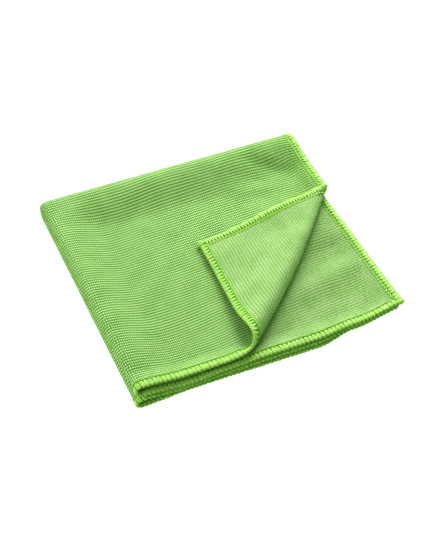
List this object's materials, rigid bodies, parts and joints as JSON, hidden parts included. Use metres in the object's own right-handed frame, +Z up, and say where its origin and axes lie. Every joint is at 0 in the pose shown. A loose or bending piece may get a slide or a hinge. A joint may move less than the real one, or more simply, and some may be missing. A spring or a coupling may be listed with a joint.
{
  "type": "folded microfibre cloth",
  "caption": "Square ribbed microfibre cleaning cloth folded into a quarter, the free corner of its top layer turned back, with an overlocked hem all round.",
  "frame": {"origin": "centre of the folded cloth's outline, on the surface it rests on", "axes": "+Z up through the layers, +X towards the side with the open hems (the left folds lie at -X), +Y towards the back fold (the open hems at the front lie at -Y)"},
  "size_m": [0.203, 0.2006, 0.022],
  "materials": {
    "cloth": "soft matt ribbed microfibre knit in fresh green, slightly sheened at a grazing view, with a brighter satin overlocked hem"
  },
  "bodies": {
    "root": {"cloth": "cloth"}
  },
  "joints": []
}
